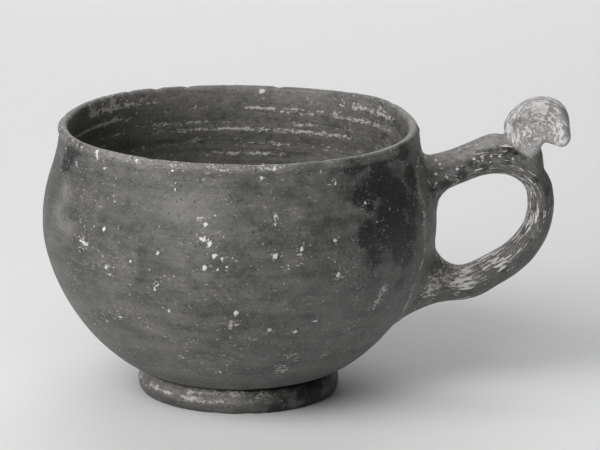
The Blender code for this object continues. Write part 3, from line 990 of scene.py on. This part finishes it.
def chips(surface):
    """Nicks along the lip and foot, and pits where grit has fallen out."""
    points = surface.points
    place = Places(points)
    depth = np.zeros(len(points))
    sink = np.zeros(len(points))
    top = smoothstep(BODY_HEIGHT - NICK_REACH, BODY_HEIGHT, place.height)
    for azimuth, width, cut in RIM_NICKS:
        arc_gap = np.radians(angle_gap(place.azimuth, azimuth)) * RIM_RADIUS
        sink += cut * bell(arc_gap, width) * top
    depth -= place.lip * LIP_CHIP * patches(points, "lip chips")
    foot = (place.height < FOOT_HEIGHT + ROUGH_TOP) & (place.reach > GROOVE_RADIUS - ROUGH_INNER)
    rough = (FOOT_ROUGHNESS[0] + FOOT_ROUGHNESS[1] * facing(place, *ROUGH_FOOT)) * MM
    depth -= foot * rough * patches(points, "foot chips")
    luck = random.Random(31)
    for _ in range(PITS):
        _, gap = strewn(luck, points, PIT_HEIGHTS)
        size = luck.uniform(*PIT_SIZES) * MM
        depth -= luck.uniform(*PIT_DEPTHS) * MM * bell(gap, size) * (place.handle < PITTED_HANDLE)
    surface.push(depth)
    surface.points[:, 2] -= sink * place.lip
    surface.read_normals()


def camera_axes():
    """Place of the camera and its right, up and back directions, rolled as the photo is."""
    elevation = math.radians(CAMERA_ELEVATION)
    roll = math.radians(CAMERA_ROLL)
    back = Vector((0.0, -math.cos(elevation), math.sin(elevation)))
    level = Vector((1.0, 0.0, 0.0))
    raised = back.cross(level)
    right = level * math.cos(roll) + raised * math.sin(roll)
    up = raised * math.cos(roll) - level * math.sin(roll)
    return Vector(CAMERA_TARGET) + back * CAMERA_DISTANCE, right, up, back


def seen_at(tree, px, py):
    """Point of the cup that the photo shows at a pixel."""
    place, right, up, back = camera_axes()
    ray = right * (px - PHOTO_WIDTH / 2) - up * (py - PHOTO_HEIGHT / 2) - back * FOCAL_PIXELS
    return tree.ray_cast(place, ray.normalized())[0]


def marked(surface, spots, smallest=0.0, largest=1.0):
    """Each point's share of the marks whose radius is between two sizes, each falling off from its middle."""
    values = np.zeros(len(surface.points))
    for share, (px, py, size) in ((share, spot) for share, group in spots.items() for spot in group):
        centre = seen_at(surface.tree, px, py)
        if centre is not None and smallest <= size * MM < largest:
            gap = np.linalg.norm(surface.points - np.array(centre), axis=1)
            np.maximum(values, share * bell(gap, size * MM), out=values)
    return values


def loose_marks(points, place):
    """Specks strewn over what the photo doesn't show of the outside."""
    luck = random.Random(47)
    values = np.zeros(len(points))
    for _ in range(LOOSE_SPECKS):
        azimuth, gap = strewn(luck, points, LOOSE_HEIGHTS)
        share = luck.uniform(*LOOSE_SHARES)
        size = luck.uniform(*LOOSE_SIZES) * MM
        if not FRONT_LOW < math.degrees(azimuth) < FRONT_HIGH:
            np.maximum(values, share * bell(gap, size), out=values)
    return values * (place.outside > 0.5)


def store(mesh, name, kind, field, values):
    """Keeps a value for each point under a name that the finish reads."""
    layer = mesh.attributes.new(name, kind, 'POINT')
    layer.data.foreach_set(field, values.astype(np.float32).ravel())


def paint(surface, edge, smear, knob, crease):
    """Keeps what the finish reads: specks, wear, stains with painted shade, handle, chalk, knob, strands and
    the grain's run.
    """
    points = surface.points
    place = Places(points)
    along, around, away = along_handle(points)
    rod = np.clip(place.handle - knob, 0.0, 1.0)
    inner = smoothstep(UNDERSIDE_EASE, -UNDERSIDE_EASE, np.sin(around))
    specks = np.maximum(marked(surface, PALE_SPOTS, 0.0, WIDE_MARK), loose_marks(points, place))
    halo = specks.copy()
    for _ in range(HALO_ROUNDS):
        halo = surface.averaged(halo)
    specks += SPECKS["rod"] * rod + SPECKS["inside"] * place.inside
    chalk = marked(surface, PALE_SPOTS, WIDE_MARK) + CHALK["halo"] * halo
    drift = relief(points * FLAT, "groove drift") + relief(points, "lime drift")
    patchy = patches(points, "groove lime")
    for height, width, _ in INNER_GROOVES:
        groove = bell(place.height + drift - height, width * GROOVE_LIME_WIDTH)
        chalk += place.inside * CHALK["grooves"] * patchy * groove
    right_wall = facing(place, *RIGHT_INSIDE) * place.inside
    chalk *= 1 - CHALK["lost at right"] * right_wall
    chalk += right_wall * CHALK["right wall"] * patches(points, "right lime")
    chalk += CHALK["inside"] * place.inside
    chalk += rod * patches(points, "rod lime", CHALK["under the rod"] * inner)
    chalk += knob * patches(points, "knob lime")
    chalk += edge * patches(points, "luting lime")
    chalk += CHALK["belly"] * place.outside * patches(points, "belly lime")
    # Pale lime round the lip, more at the front left: partly lime crust, partly a painted highlight along the
    # lip's edge
    front = LIP_SIDES[0] + LIP_SIDES[1] * facing(place, *FRONT_LIP)
    chalk += CHALK["lip"] * front * place.lip * patches(points, "lip lime and highlight")
    wear = marked(surface, RUBBED_SPOTS)
    wear += place.inside * (WEAR["inside"] + WEAR["near inside"] * facing(place, *NEAR_INSIDE))
    wear += rod * (WEAR["rod"] + WEAR["under the rod"] * inner)
    wear += knob
    wear += WEAR["bead"] * edge + WEAR["smear"] * smear
    wear += front * place.lip * patches(points, "lip wear")
    shoulder = bell(place.height - FOOT_HEIGHT * SHOULDER_RISE, SHOULDER_WIDTH)
    shoulder *= (place.reach > GROOVE_RADIUS + SHOULDER_INNER) * (place.reach < FOOT_RADIUS + SHOULDER_OUTER)
    shoulder *= facing(place, *WORN_FOOT)
    wear += shoulder * patches(points, "foot wear")
    chalk += shoulder * patches(points, "foot lime")
    # Stains, with painted shade where the cup turns from the key light and under the handle
    stain = marked(surface, STAIN_AND_SHADE_SPOTS)
    stain += right_wall * patches(points, "right stain")
    # Painted shade in the groove over the foot
    rise, width, margin = OVER_FOOT
    over_foot = bell(place.height - FOOT_HEIGHT - rise, width) * (place.reach < GROOVE_RADIUS + margin)
    stain += PAINTED_SHADE["over the foot"] * over_foot
    # Painted shade on the foot's front right rim, turned from the key light, in uneven patches
    painted_foot_shade = PAINTED_SHADE["foot"] * place.foot * facing(place, *SHADED_FOOT_SIDE)
    painted_foot_shade *= smoothstep(*(FOOT_RADIUS - margin for margin in SHADED_FOOT_RIM), place.reach)
    stain += painted_foot_shade * patches(points, "foot stain")
    # Painted shade in a band under the lip's groove, all round the outside
    under_lip = bell(place.height - LIP_GROOVE + UNDER_LIP[0], UNDER_LIP[1])
    # This adds the painted shade under the lip, and painted shade in the crease between the strut and the
    # loop, under the strut
    stain += PAINTED_SHADE["under the lip"] * place.outside * under_lip + PAINTED_SHADE["crease"] * crease
    shares = [np.clip(values, 0.0, 1.0) for values in (specks, wear, stain, place.handle)]
    store(surface.mesh, "paint", 'FLOAT_COLOR', "color", np.stack(shares, axis=1))
    strands = place.handle * smoothstep(STRANDS_START, STRANDS_FULL, place.proud)
    for name, values in (("chalk", chalk), ("knob", knob), ("strands", strands)):
        store(surface.mesh, name, 'FLOAT', "value", np.clip(values, 0.0, 1.0))
    reach, turn = about_knob(points)
    swirl = np.minimum(reach, SWIRL)
    round_knob = np.stack([reach + points[:, 1], swirl * np.cos(turn), swirl * np.sin(turn)], axis=1)
    down_rod = np.stack([points[:, 1], away * np.sin(around), along / STRAND_STRETCH], axis=1)
    for name, run in (("down_rod", down_rod), ("round_knob", round_knob)):
        store(surface.mesh, name, 'FLOAT_VECTOR', "vector", run)


class Nodes:
    """Short ways to add shader nodes to one material."""

    def __init__(self, name):
        self.material = bpy.data.materials.new(name)
        self.material.use_nodes = True
        self.tree = self.material.node_tree
        self.shader = self.tree.nodes["Principled BSDF"]
        self.where = self.tree.nodes.new("ShaderNodeTexCoord").outputs["Object"]

    def link(self, value, socket):
        if isinstance(value, bpy.types.NodeSocket):
            self.tree.links.new(value, socket)
        else:
            socket.default_value = value

    def add(self, kind, **inputs):
        """A new node with values or links on its named inputs."""
        node = self.tree.nodes.new("ShaderNode" + kind)
        for name, given in inputs.items():
            self.link(given, node.inputs[name])
        return node

    def read(self, name):
        node = self.add("Attribute")
        node.attribute_name = name
        return node

    def maths(self, operation, first, second, clamp=False):
        node = self.add("Math")
        node.operation = operation
        node.use_clamp = clamp
        self.link(first, node.inputs[0])
        self.link(second, node.inputs[1])
        return node.outputs[0]

    def times(self, first, second, clamp=False):
        return self.maths('MULTIPLY', first, second, clamp)

    def plus(self, first, second, clamp=False):
        return self.maths('ADD', first, second, clamp)

    def less(self, first, second):
        return self.maths('SUBTRACT', first, second)

    def ramp(self, value, low, high, start=0.0, end=1.0):
        """The value's stretch from low to high, eased and carried to start and end."""
        node = self.add("MapRange")
        node.interpolation_type = 'SMOOTHSTEP'
        for socket, given in zip(node.inputs, (value, low, high, start, end)):
            self.link(given, socket)
        return node.outputs[0]

    def placed(self, stretch, offset):
        """The surface's place in metres, drawn out along an axis where stretch is over 1."""
        scale = [1.0 / s for s in stretch]
        return self.add("Mapping", Scale=scale, Location=(offset,) * 3, Vector=self.where).outputs[0]

    def grain(self, size, detail, stretch, roughness, offset, where=None):
        """Noise of 0 to 1 with lumps of about a size in metres."""
        where = where or self.placed(stretch, offset)
        node = self.add("TexNoise", Scale=1.0 / size, Detail=detail, Roughness=roughness, Vector=where)
        return node.outputs["Fac"]

    def specks(self, density, pitch, smallest, largest, offset):
        """Ragged specks a pitch apart at most; a share of them shows, with radii as shares of the pitch."""
        where = self.placed(ROUND, offset)
        ragged = self.add("TexNoise", Scale=RAGGED_LUMPS / pitch, Detail=RAGGED_DETAIL, Vector=where)
        cells = self.add("TexVoronoi", Scale=1.0 / pitch, Vector=where)
        draws = self.add("SeparateColor", Color=cells.outputs["Color"])
        radius = self.ramp(draws.outputs["Red"], 0.0, 1.0, smallest, largest)
        edge = self.times(self.less(ragged.outputs["Fac"], 0.5), SPECK_RAGGEDNESS)
        depth = self.less(self.plus(radius, edge), cells.outputs["Distance"])
        drawn = self.maths('GREATER_THAN', density, draws.outputs["Green"])
        return self.times(self.ramp(depth, *RAMPS["speck edge"]), drawn)

    def between(self, share, first, second):
        """The first value where the share is 0, the second where it is 1."""
        return self.plus(first, self.times(share, self.less(second, first)))

    def blend(self, share, below, above):
        node = self.add("Mix")
        node.data_type = 'RGBA'
        for name, given in (("Factor", share), ("A", below), ("B", above)):
            self.link(given, node.inputs[name])
        return node.outputs["Result"]

    def bump(self, height, depth, below=None):
        node = self.add("Bump", Distance=depth, Height=height)
        if below is not None:
            self.link(below, node.inputs["Normal"])
        return node.outputs["Normal"]


def grey(level, warmth):
    """Near-neutral colour with a slight warmth."""
    return (level * (1 + warmth), level, level * (1 - warmth), 1.0)


def ware_finish():
    """Smoke-fired grey clay: mottled, wheel-lined, pitted, scratched and rubbed, with pale lime crust,
    stains, painted shade and a painted highlight on the lip.
    """
    n = Nodes("grey_ware_fired")
    grains = {name: n.grain(*kind) for name, kind in GRAINS.items()}
    fine, lines, mottle = grains["fine"], grains["lines"], grains["mottle"]
    painted = n.read("paint")
    crust, wear, stain = n.add("SeparateColor", Color=painted.outputs["Color"]).outputs
    handle = painted.outputs["Alpha"]
    chalk, knob, stranded = (n.read(name).outputs["Fac"] for name in ("chalk", "knob", "strands"))
    thrown = n.less(1.0, handle)
    tone, *clays = (n.ramp(grains[name], *ends) for name, *ends in CLAY_LAYERS)
    for clay in clays:
        tone = n.plus(tone, clay)
    turned = n.plus(*(n.ramp(grains[name], *ends) for name, *ends in TURNED_LAYERS))
    tone = n.plus(tone, n.times(turned, thrown), True)
    # Stains and painted shade darken the clay
    stained_and_shaded = n.ramp(n.plus(stain, grains["stains"]), *RAMPS["stained_and_shaded"])
    stained_and_shaded = n.times(stained_and_shaded, n.ramp(stain, *RAMPS["stain edge"]))
    scratches = n.ramp(grains["scratches"], *RAMPS["scratches"])
    scratches = n.times(scratches, n.ramp(grains["smudges"], *RAMPS["scratched"]))
    scratches = n.times(scratches, thrown)
    pits = n.specks(n.plus(n.times(stain, PIT_DENSITY[0]), PIT_DENSITY[1]), *CLAY_PITS)
    rub = n.times(wear, n.ramp(grains["rubbing"], *RAMPS["rubbing"]), True)
    runs = [n.grain(*STRAND, n.read(name).outputs["Vector"]) for name in ("down_rod", "round_knob")]
    strands = n.between(knob, *runs)
    texture = n.between(n.times(stranded, STRAND_SHARE), grains["powder"], strands)
    chalked = n.plus(n.times(chalk, CHALK_LIFT), texture)
    chalked = n.ramp(chalked, n.between(handle, *CHALK_START), n.between(handle, *CHALK_FULL))
    chalked = n.times(chalked, n.between(handle, *CHALK_STRENGTH))
    large = n.ramp(n.plus(crust, n.times(grains["ragged"], RAGGED_EDGE)), *RAMPS["large"])
    scattered = n.plus(n.times(crust, SPECK_DENSITY), n.ramp(mottle, *RAMPS["scattered"]))
    small = n.times(n.specks(scattered, *SMALL_SPECKS), SHARES["small"])
    deposit = n.maths('MAXIMUM', n.maths('MAXIMUM', chalked, small), large)
    colour = n.blend(tone, grey(*WARE_DARK), grey(*WARE_LIGHT))
    knobbed = n.times(knob, n.ramp(mottle, *RAMPS["knob clay"]))
    lime = n.blend(fine, grey(*LIME_DARK), grey(*LIME_LIGHT))
    layers = (("stain", stained_and_shaded, grey(*STAIN_AND_SHADE_TONE)), ("pits", pits, grey(*PITTED)), ("rub", rub, grey(*WORN)),
              ("scratches", scratches, grey(*WORN)), ("knob", knobbed, grey(*KNOB_CLAY)),
              ("deposit", deposit, lime))
    for name, share, above in layers:
        colour = n.blend(n.times(share, SHARES[name]), colour, above)
    n.link(colour, n.shader.inputs["Base Color"])
    rough = n.plus(n.ramp(mottle, *RAMPS["roughness"]), n.times(deposit, ROUGHER["deposit"]))
    rough = n.plus(rough, n.times(wear, ROUGHER["wear"]), True)
    n.link(rough, n.shader.inputs["Roughness"])
    clay = n.bump(fine, BUMPS["fine"])
    for height, name in ((n.times(lines, thrown), "lines"), (n.times(strands, handle), "strands"),
                         (mottle, "mottle"), (n.less(deposit, pits), "crust")):
        clay = n.bump(height, BUMPS[name], clay)
    n.link(clay, n.shader.inputs["Normal"])
    return n.material


def plain_material(name, colour, roughness):
    material = bpy.data.materials.new(name)
    material.use_nodes = True
    shader = material.node_tree.nodes["Principled BSDF"]
    shader.inputs["Base Color"].default_value = (*colour, 1.0)
    shader.inputs["Roughness"].default_value = roughness
    return material


def cup_ware():
    cup, handle = fused_cup()
    surface = Surface(cup)
    flare_roots(surface, handle)
    throwing(surface)
    edge, smear, knob, crease = hand_work(surface)
    chips(surface)
    surface.points = np.clip(surface.points, *CAD_BOX)
    surface.read_normals()
    surface.tree = search_tree(surface.mesh)
    paint(surface, edge, smear, knob, crease)
    cup.data.materials.clear()
    cup.data.materials.append(ware_finish())
    cup.data.shade_smooth()
    triangles = sum(len(p.vertices) - 2 for p in cup.data.polygons)
    print("cup_ware:", len(cup.data.vertices), "points,", triangles, "triangles")
    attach(cup, "root")
    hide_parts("cup")


def studio():
    """Pale floor and four large soft lights: the strong one at the front left, two behind, one in front."""
    size = FLOOR_HALF
    verts = [(-size, -size, 0.0), (size, -size, 0.0), (size, size, 0.0), (-size, size, 0.0)]
    floor = link_mesh("floor", verts, [(0, 1, 2, 3)])
    floor.data.materials.append(plain_material("paper", (FLOOR_TONE,) * 3, FLOOR_ROUGHNESS))
    world = bpy.data.worlds.new("surroundings")
    world.use_nodes = True
    glow = world.node_tree.nodes["Background"]
    glow.inputs["Color"].default_value = (1.0, 1.0, 1.0, 1.0)
    glow.inputs["Strength"].default_value = WORLD_STRENGTH
    bpy.context.scene.world = world
    for name, azimuth, elevation, power in LIGHTS:
        light = bpy.data.lights.new(name, 'AREA')
        light.shape = 'SQUARE'
        light.size = LIGHT_SIZE
        light.energy = power
        lamp = bpy.data.objects.new(name, light)
        across = math.radians(azimuth)
        rise = math.radians(elevation)
        level = math.cos(rise)
        toward = Vector((level * math.cos(across), level * math.sin(across), math.sin(rise)))
        lamp.location = toward * LIGHT_DISTANCE
        lamp.rotation_mode = 'QUATERNION'
        lamp.rotation_quaternion = (-toward).to_track_quat('-Z', 'Y')
        lamp.visible_camera = False
        bpy.context.scene.collection.objects.link(lamp)
    bpy.context.scene.view_settings.view_transform = 'Standard'


def camera():
    """Camera at the photo's angle, a little rolled, with a long lens."""
    place, right, up, back = camera_axes()
    data = bpy.data.cameras.new("view")
    data.sensor_width = SENSOR_WIDTH
    data.lens = FOCAL_PIXELS / PHOTO_WIDTH * SENSOR_WIDTH
    data.clip_start = CLIP_NEAR
    data.clip_end = CLIP_FAR
    taken = bpy.data.objects.new("view", data)
    taken.matrix_world = Matrix.Translation(place) @ Matrix((right, up, back)).transposed().to_4x4()
    bpy.context.scene.collection.objects.link(taken)
    bpy.context.scene.camera = taken


cup_ware()
studio()
camera()
